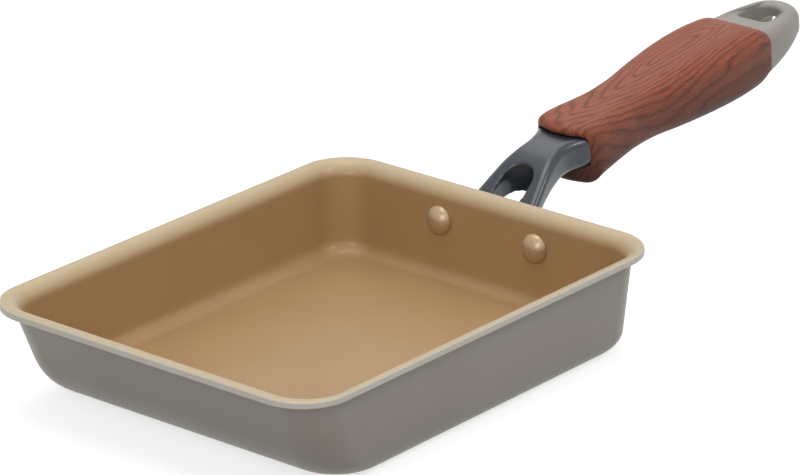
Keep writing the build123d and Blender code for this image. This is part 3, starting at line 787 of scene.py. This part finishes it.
class OMELETTE_OT_arm(Operator):
    """Draw the arm from its foot to its tang, cut the slot and soften it as a casting"""

    bl_idname = "omelette.arm"
    bl_label = "Arm"

    def execute(self, context):
        sizes = context.scene.pan_arm_sizes
        mouth, along, upward = handle_line(context.scene.pan_grip_sizes)
        seat, out, up_wall = rivet_seat(context)

        # the upper side is straight and then levels out, the underside curves all the way
        root_x = seat.x + sizes.foot_thickness / 2
        leg_way = Vector((cos(sizes.leg_slope), 0, sin(sizes.leg_slope)))
        under_way = Vector((cos(sizes.under_slope), 0, sin(sizes.under_slope)))
        leg = Vector((pan_high.x + sizes.leg_reach, 0, pan_high.z - sizes.leg_drop))
        root_top = leg + leg_way * ((root_x - leg.x) / leg_way.x)
        root_low = Vector((root_x, 0, seat.z - sizes.foot_height / 2))
        bend = leg + leg_way * ((sizes.bend_reach - sizes.leg_reach) / leg_way.x)
        neck_top = mouth + upward * sizes.neck_height / 2 - along * sizes.neck_lead
        neck_low = mouth - upward * sizes.neck_height / 2 - along * sizes.neck_lead
        straight = (bend - root_top).length
        curved, under = (neck_top - bend).length, (neck_low - root_low).length
        waist_x, flare_x = pan_high.x + sizes.waist_reach, mouth.x - sizes.flare_lead
        places = [root_x, leg.x, waist_x, flare_x, mouth.x]
        widths = ("root_width", "leg_width", "waist_width", "flare_width", "neck_width")
        halves = [getattr(sizes, width) / 2 for width in widths]
        rings, steps = [], 24
        for share in (k / steps for k in range(steps + 1)):
            gone = share * (straight + curved)
            if gone < straight:
                top = root_top + leg_way * gone
            else:
                part = (gone - straight) / curved
                top = curve(bend, neck_top, leg_way * curved, along * curved, part)
            low = curve(root_low, neck_low, under_way * under, along * under, share)
            half = smooth_between(places, halves, (top.x + low.x) / 2, (-tan(sizes.root_splay), 0))
            high = top - low
            rings.append(Ring(
                (top + low) / 2, left_way, high.normalized(), half, high.length / 2, sizes.edge))
        # the neck goes a little way into the grip, and the tang on from there narrows to its end
        neck = (sizes.neck_width / 2, sizes.neck_height / 2, sizes.edge)
        tang = (sizes.tang_width / 2, sizes.tang_height / 2, sizes.tang_edge)
        end = (tang[0] * 0.85, tang[1] * 0.85, sizes.tang_edge)
        inset, end_inset = sizes.neck_inset, sizes.neck_inset + sizes.tang_length
        for station, halves in ((0, neck), (inset, neck), (inset, tang), (end_inset, end)):
            rings.append(Ring(mouth + along * station, left_way, upward, *halves))
        piece = start_piece("arm_casting", rings[0], 8)
        draw_rings(piece, rings)
        bpy.ops.object.mode_set(mode="OBJECT")
        combine(piece, self.foot(sizes, seat, out, up_wall), "UNION")
        slot_x = seat.x + sizes.foot_thickness + sizes.slot_gap
        combine(piece, self.slot(sizes, slot_x), "DIFFERENCE")
        self.soften(piece)
        piece.data.materials.append(arm_paint(context.scene.pan_finishes))
        close_piece(piece, radians(60), merge=0.001 * mm)
        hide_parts("handle_arm")
        return {"FINISHED"}

    def foot(self, sizes, seat, out, up_wall):
        """The foot on the pan's wall, with its outer edge rounded."""
        half_wide, half_high = sizes.foot_width / 2, sizes.foot_height / 2
        rings = [Ring(seat, left_way, up_wall, half_wide, half_high, sizes.foot_corner)]
        for inset, rise in quarter(sizes.foot_edge, 4):
            place = seat + out * (sizes.foot_thickness - sizes.foot_edge + rise)
            halves = (half_wide - inset, half_high - inset)
            rings.append(Ring(place, left_way, up_wall, *halves, sizes.foot_corner - inset))
        return self.solid("arm_foot", rings, 10)

    def slot(self, sizes, start):
        """The cutter for the slot, from below the legs to above them, narrowest where it parts."""
        parting = pan_high.z + sizes.slot_parting
        rings = []
        for level in (pan_low.z + 10 * mm, parting, parting + 14 * mm):
            half = sizes.slot_width / 2 + abs(level - parting) * tan(sizes.slot_draft)
            end = pan_high.x + sizes.slot_reach + half
            place = Vector(((start + end) / 2, 0, level))
            # the corners just fail to meet, so that they keep a straight side between them
            rings.append(Ring(place, right_way, left_way, (end - start) / 2, half, half * 0.98))
        return self.solid("arm_slot_cutter", rings, 16)

    def solid(self, name, rings, steps):
        """A closed solid through a row of rings, to be joined to the arm or cut out of it."""
        solid = start_piece(name, rings[0], steps)
        draw_rings(solid, rings)
        face_outwards()
        bpy.ops.object.mode_set(mode="OBJECT")
        return solid

    def soften(self, piece):
        """An even mesh, smoothed as a casting's edges are."""
        apply_modifier(piece, "REMESH", mode="VOXEL", voxel_size=0.42 * mm, adaptivity=0.0)
        apply_modifier(piece, "SMOOTH", factor=0.5, iterations=7)


class OMELETTE_OT_grip(Operator):
    """Draw the grip from its mouth over the bowed front to the seam"""

    bl_idname = "omelette.grip"
    bl_label = "Grip"

    def execute(self, context):
        sizes = context.scene.pan_grip_sizes
        arm = context.scene.pan_arm_sizes
        mouth, along, upward = handle_line(sizes)

        def section(station, inset):
            share = station / sizes.long
            rise = smooth_between(grip_stations, grip_rises, share) * sizes.high
            return Ring(
                mouth + along * station + upward * rise, left_way, upward,
                smooth_between(grip_stations, grip_widths, share) * sizes.wide / 2 - inset,
                smooth_between(grip_stations, grip_heights, share) * sizes.high / 2 - inset,
                smooth_between(grip_stations, grip_rounds, share) * sizes.high - inset,
            )

        # the mouth runs in round the neck and opens a little at its edge, as depths and spreads
        half_wide, half_high, corner = (
            size + sizes.mouth_gap for size in (arm.neck_width / 2, arm.neck_height / 2, arm.edge))
        rings = []
        mouth_edge = ((0.8 * mm, 0), (0.3 * mm, 0.15 * mm), (0.05 * mm, 0.5 * mm))
        for depth, spread in ((arm.neck_inset, 0), *mouth_edge):
            spreads = (half_wide + spread, half_high + spread, corner + spread)
            rings.append(Ring(mouth + along * depth, left_way, upward, *spreads))
        nose, steps = sizes.nose_edge, 44
        rings += [section(gone, nose - rise) for gone, rise in quarter(nose, 6)]
        rings += [section(nose + (sizes.long - nose) * k / steps, 0) for k in range(1, steps + 1)]
        piece = start_piece("grip_moulding", rings[0], 8, side_cuts=6)
        draw_rings(piece, rings)
        self.bow_front(piece, sizes, mouth, along, upward)
        piece.data.materials.append(wood_look(context.scene.pan_finishes, sizes))
        close_piece(piece, radians(50))
        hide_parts("grip")
        return {"FINISHED"}

    def bow_front(self, piece, sizes, mouth, along, upward):
        """Moves the front forward, most at the top and in the middle, fading out behind it."""
        fade = 10 * mm
        shape = bmesh.from_edit_mesh(piece.data)
        for vertex in shape.verts:
            station = (vertex.co - mouth).dot(along)
            if station < fade:
                round_front = sqrt(sizes.nose_radius**2 - vertex.co.y**2)
                bow = sizes.nose_radius - sizes.nose_reach - round_front
                bow -= (vertex.co - mouth).dot(upward) * tan(sizes.nose_lean)
                share = 1 if station < 0 else 1 - station / fade
                vertex.co += along * bow * share * share
        bmesh.update_edit_mesh(piece.data)


class OMELETTE_OT_end_cap(Operator):
    """Shape the tail piece: an oval, rounded, cut at the seam and pierced by the loop's hole"""

    bl_idname = "omelette.end_cap"
    bl_label = "Hanging loop"

    def execute(self, context):
        sizes = context.scene.pan_cap_sizes
        grip = context.scene.pan_grip_sizes
        front, along, upward = handle_line(grip)
        seam = front + along * grip.long
        seam_height = grip_heights[-1] * grip.high
        top = grip_rises[-1] * grip.high + seam_height / 2
        shoulder, flank = top - sizes.edge, seam_height - 2 * sizes.edge
        outline = self.oval(sizes, grip_widths[-1] * grip.wide / 2)
        places = [seam + along * x + left_way * y + upward * shoulder for x, y in outline]
        piece = start_outline("hanging_loop", places)
        bpy.ops.mesh.extrude_region_move(TRANSFORM_OT_translate={"value": -upward * flank})
        # the underside climbs to the thinner tip
        climb = (seam_height - sizes.tip_thickness) / sizes.long
        shape = bmesh.from_edit_mesh(piece.data)
        for vertex in shape.verts:
            if vertex.select:
                vertex.co += upward * (vertex.co - seam).dot(along) * climb
        bmesh.update_edit_mesh(piece.data)
        face_outwards()
        for level in (shoulder, shoulder - flank + sizes.long / 2 * climb):
            choose_face_near(piece, seam + along * sizes.long / 2 + upward * level)
            self.round_off(sizes)
        face_outwards()
        bpy.ops.mesh.bisect(plane_co=seam, plane_no=along, use_fill=True, clear_inner=True)
        # a cut down the middle leaves no face with a hole in it
        bpy.ops.mesh.select_all(action="SELECT")
        bpy.ops.mesh.bisect(plane_co=seam, plane_no=left_way)
        bpy.ops.object.mode_set(mode="OBJECT")
        combine(piece, self.hole(sizes, seam, along, upward), "DIFFERENCE")
        self.ease_hole(piece, sizes, seam, along)
        combine(piece, self.groove(sizes, seam, along, upward, top), "DIFFERENCE")
        piece.data.materials.append(loop_plastic(context.scene.pan_finishes))
        close_piece(piece, radians(45))
        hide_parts("end_cap")
        return {"FINISHED"}

    def oval(self, sizes, half_seam):
        """The outline at mid height: the tip's arc and two long arcs that run on past the seam."""
        end = sizes.long - sizes.end_radius
        side = (end**2 + half_seam**2 - sizes.end_radius**2) / (2 * (half_seam - sizes.end_radius))
        lean = asin(end / (side - sizes.end_radius))
        steps, past = 16, 8 * mm
        points = []
        for k in range(steps + 1):
            turn = lean + (pi / 2 - lean) * (1 - k / steps)
            points.append((end + sizes.end_radius * sin(turn), sizes.end_radius * cos(turn)))
        for k in range(1, steps + 1):
            turn = lean * (1 - k / steps)
            points.append((side * sin(turn), side * cos(turn) - side + half_seam))
        points.append((-past, half_seam))
        return points + [(x, -y) for x, y in reversed(points[1:])]

    def round_off(self, sizes):
        """Rounds the edge of the selected face by small insets that step outwards."""
        steps = quarter(sizes.edge, 8)
        for (last_in, last_out), (inward, outward) in zip(steps, steps[1:]):
            bpy.ops.mesh.inset(thickness=inward - last_in, depth=outward - last_out)

    def hole(self, sizes, seam, along, upward):
        """The cutter for the hole: straight in front, half round behind."""
        radius, corner = sizes.hole_width / 2, sizes.hole_corner
        end = sizes.hole_start + sizes.hole_length - radius
        reach = 20 * mm
        turns = [k * pi / 20 for k in range(21)]
        outline = [(end + radius * sin(turn), radius * cos(turn)) for turn in turns]
        bend_x = sizes.hole_start + corner
        bend = [(bend_x - rise, radius - inset) for inset, rise in quarter(corner, 6)]
        outline += [(x, -y) for x, y in bend] + bend[::-1]
        places = [seam + along * x + left_way * y - upward * reach for x, y in outline]
        cutter = start_outline("hole_cutter", places)
        bpy.ops.mesh.extrude_region_move(TRANSFORM_OT_translate={"value": upward * 2 * reach})
        face_outwards()
        bpy.ops.object.mode_set(mode="OBJECT")
        return cutter

    def groove(self, sizes, seam, along, upward, top):
        """The cutter for the groove under the tip that the hook lies in."""
        station = sizes.hole_start + sizes.hole_length - sizes.hole_width / 2 + sizes.long / 2
        middle = seam + along * station + upward * (top - sizes.groove_roof - sizes.groove_radius)
        turn = up_way.rotation_difference(along).to_euler()
        return add_object(
            "groove_cutter", bpy.ops.mesh.primitive_cylinder_add, vertices=64,
            radius=sizes.groove_radius, depth=sizes.long, location=middle, rotation=turn)

    def ease_hole(self, piece, sizes, seam, along):
        """Rounds the hole's edges above and below."""
        bpy.ops.object.mode_set(mode="EDIT")
        middle = sizes.hole_start + sizes.hole_length / 2

        def sharp_at_hole(edge):
            place = (edge.verts[0].co + edge.verts[1].co) / 2 - seam
            aside, ahead = abs(place.y), abs(place.dot(along) - middle)
            near = aside < sizes.hole_width * 0.52 and ahead < sizes.hole_length * 0.6
            return near and edge.calc_face_angle(0) > radians(60)

        choose(piece, "EDGE", sharp_at_hole)
        bpy.ops.mesh.bevel(offset=sizes.hole_edge, segments=5, affect="EDGES", clamp_overlap=True)
        bpy.ops.mesh.select_mode(type="VERT")
        bpy.ops.object.mode_set(mode="OBJECT")


class OMELETTE_OT_fasteners(Operator):
    """Finish the screw and the washers inside the grip"""

    bl_idname = "omelette.fasteners"
    bl_label = "Screw and washers"

    def execute(self, context):
        finish = plated_steel(context.scene.pan_finishes)
        for name in ("grip_screw", "spring_washer", "flat_washer"):
            frame["nodes"][name].data.materials[0] = finish
        return {"FINISHED"}


class OMELETTE_OT_stage(Operator):
    """Set the floor, the white surroundings, the lamps and the photograph's camera"""

    bl_idname = "omelette.stage"
    bl_label = "Stage"

    def execute(self, context):
        # just under the base, so that the two never lie in one plane
        plane = bpy.ops.mesh.primitive_plane_add
        floor = add_object("floor", plane, size=6, location=(0, 0, -0.1 * mm))
        material, tree, shader = new_material(
            "white_paper_floor", Roughness=0.9, Base_Color=(0.5, 0.5, 0.5, 1))
        self.white_to_camera(tree, shader.outputs["BSDF"])
        floor.data.materials.append(material)
        world = bpy.data.worlds.new("white_studio")
        context.scene.world = world
        world.use_nodes = True
        self.white_sky(world.node_tree)
        # each softbox with its place, its width in metres and its power in watts
        self.lamp("overhead", (0.05, 0.1, 1.35), 0.7, 5.5)
        self.lamp("rear", (0.66, 0.46, 1.1), 0.8, 2)
        self.lamp("right", (0.3, -0.75, 0.85), 0.26, 2)
        self.lamp("front", (-1.2, -0.7, 0.8), 0.5, 6)
        context.scene.view_settings.view_transform = "Standard"
        self.camera(context)
        return {"FINISHED"}

    def white_sky(self, tree):
        """A tent that lights from above, dimmer at the horizon, and plain white where it's seen."""
        way = add_node(tree, "TexCoord").outputs["Generated"]
        rise = add_node(tree, "SeparateXYZ", _0=way)
        stops = [(0.1, (0.5, 0.5, 0.5)), (0.7, (1.0, 1.0, 1.0))]
        shade = add_node(tree, "ValToRGB", {"stops": stops}, Fac=rise.outputs["Z"]).outputs["Color"]
        tent = tree.nodes["Background"]
        tent.inputs["Strength"].default_value = 0.52
        tree.links.new(shade, tent.inputs["Color"])
        paper = add_node(tree, "Background", {"Color": (1, 1, 1, 1), "Strength": 1.0})
        self.mix_by_ray(tree, tent.outputs["Background"], paper.outputs["Background"])

    def white_to_camera(self, tree, shaded):
        """Shows the floor as white paper, with the object's shadow kept."""
        glow = add_node(tree, "Emission", {"Color": (1, 1, 1, 1), "Strength": 0.7})
        both = add_node(tree, "AddShader", _0=shaded, _1=glow.outputs["Emission"])
        self.mix_by_ray(tree, shaded, both.outputs["Shader"])

    def mix_by_ray(self, tree, lighting, seen):
        """One shader for the rays that only light others, one for those that show or mirror it."""
        light = add_node(tree, "LightPath").outputs
        shows = light["Is Camera Ray"]
        for name in ("Is Glossy Ray", "Is Transmission Ray"):
            either = {"operation": "ADD", "use_clamp": True}
            shows = add_node(tree, "Math", either, _0=shows, _1=light[name]).outputs["Value"]
        mixed = add_node(tree, "MixShader", Fac=shows, _1=lighting, _2=seen)
        output = next(n for n in tree.nodes if n.type in ("OUTPUT_WORLD", "OUTPUT_MATERIAL"))
        tree.links.new(mixed.outputs["Shader"], output.inputs["Surface"])

    def lamp(self, name, place, size, power):
        """A square softbox that faces the pan."""
        lamp = add_object(name, bpy.ops.object.light_add, type="AREA", location=place)
        lamp.data.size = size
        lamp.data.energy = power
        aim = Vector((0.05, 0, 0.02))
        lamp.rotation_euler = (aim - Vector(place)).to_track_quat("-Z", "Y").to_euler()

    def camera(self, context):
        """The photograph's camera, placed from its two angles, its distance and its offsets."""
        spot = context.scene.pan_camera
        level = cos(spot.elevation)
        back = Vector((sin(spot.azimuth) * level, -cos(spot.azimuth) * level, sin(spot.elevation)))
        right = Vector((cos(spot.azimuth), sin(spot.azimuth), 0))
        above = back.cross(right)
        rim = Vector((0, 0, pan_high.z))
        place = rim + right * spot.aside + above * spot.above + back * spot.distance
        camera = add_object("photo_camera", bpy.ops.object.camera_add, location=place)
        camera.rotation_euler = Matrix((right, above, back)).transposed().to_euler()
        camera.data.lens = spot.lens
        camera.data.sensor_width = 36
        camera.data.clip_end = 20
        context.scene.camera = camera


class OMELETTE_PT_parts(Panel):
    """Lists the pieces and their sizes."""

    bl_label = "Omelette pan"
    bl_idname = "OMELETTE_PT_parts"
    bl_space_type = "VIEW_3D"
    bl_region_type = "UI"
    bl_category = "Pan"

    def draw(self, context):
        for operator in operators:
            self.layout.operator(operator.bl_idname)
        for name in groups:
            box = self.layout.box()
            box.label(text=groups[name].__doc__)
            sizes = getattr(context.scene, name)
            for key in sizes.__annotations__:
                box.prop(sizes, key)


groups = {
    "pan_body_sizes": BodySizes,
    "pan_rivet_sizes": RivetSizes,
    "pan_arm_sizes": ArmSizes,
    "pan_grip_sizes": GripSizes,
    "pan_cap_sizes": CapSizes,
    "pan_finishes": Finishes,
    "pan_camera": CameraPlace,
}
operators = (
    OMELETTE_OT_body,
    OMELETTE_OT_base_plate,
    OMELETTE_OT_rivets,
    OMELETTE_OT_arm,
    OMELETTE_OT_grip,
    OMELETTE_OT_end_cap,
    OMELETTE_OT_fasteners,
    OMELETTE_OT_stage,
)


def register():
    """Adds the classes and the groups of sizes."""
    for made in (*groups.values(), *operators, OMELETTE_PT_parts):
        bpy.utils.register_class(made)
    for name, group in groups.items():
        setattr(bpy.types.Scene, name, PointerProperty(type=group))


def unregister():
    """Removes them again."""
    for name in groups:
        delattr(bpy.types.Scene, name)
    for made in reversed((*groups.values(), *operators, OMELETTE_PT_parts)):
        bpy.utils.unregister_class(made)


def main():
    """Builds the pan."""
    register()
    bpy.ops.omelette.body()
    bpy.ops.omelette.base_plate()
    bpy.ops.omelette.rivets()
    bpy.ops.omelette.arm()
    bpy.ops.omelette.grip()
    bpy.ops.omelette.end_cap()
    bpy.ops.omelette.fasteners()
    bpy.ops.omelette.stage()


if __name__ == "__main__":
    main()
